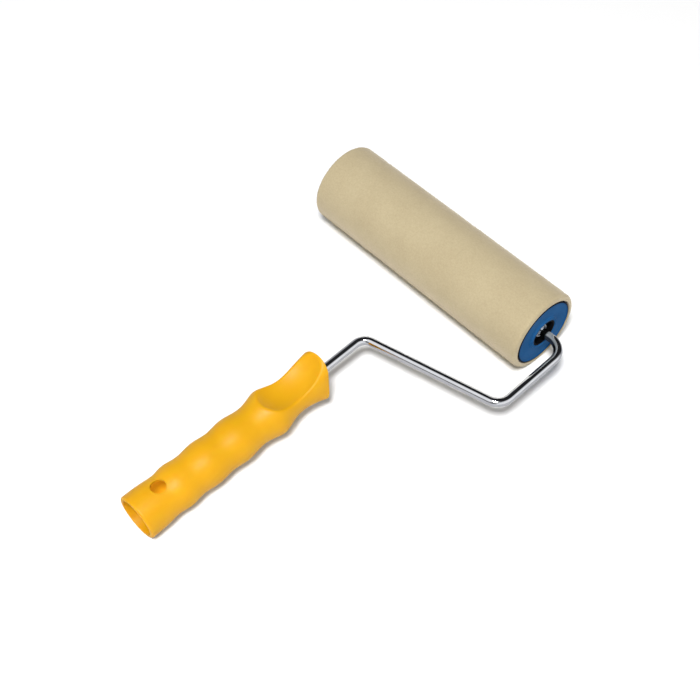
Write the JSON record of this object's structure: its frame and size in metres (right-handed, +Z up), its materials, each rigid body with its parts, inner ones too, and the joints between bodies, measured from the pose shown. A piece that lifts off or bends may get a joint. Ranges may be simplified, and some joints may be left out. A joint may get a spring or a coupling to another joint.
{
  "type": "paint roller",
  "caption": "Paint roller with a short-nap cream sleeve on blue-capped core, a bent steel wire frame and a moulded yellow handle with thumb rest, hang hole and pole socket.",
  "frame": {"origin": "on the pole socket's axis at its mouth, where the round wall begins inside the tail's rounded lip", "axes": "+Z up with the tool lying on the ground, +Y from the handle's tail towards the roller, +X along the roller axis towards the end where the wire comes out"},
  "size_m": [0.2131, 0.3052, 0.058],
  "materials": {
    "handle_plastic": "satin moulded",
    "wire_chrome": "bright plated",
    "washer_steel": "zinc plated",
    "nap_fabric": "short napped velour",
    "core_plastic": "plain extruded",
    "cap_plastic": "satin moulded",
    "bearing_plastic": "plain moulded"
  },
  "bodies": {
    "frame": {"handle_grip": "handle_plastic", "frame_wire": "wire_chrome", "near_star_washer": "washer_steel", "near_thrust_washer": "washer_steel", "far_push_nut": "washer_steel", "far_thrust_washer": "washer_steel"},
    "roller": {"pile_sleeve": "nap_fabric", "core_tube": "core_plastic", "near_end_cap": "cap_plastic", "far_end_cap": "cap_plastic", "near_bearing": "bearing_plastic", "far_bearing": "bearing_plastic"}
  },
  "joints": [
    {"name": "roller_spin", "type": "hinge", "parent": "frame", "child": "roller", "pos_m": [-0.0144, 0.27467, 0.01346], "axis": [1, 0, 0], "continuous": true}
  ]
}
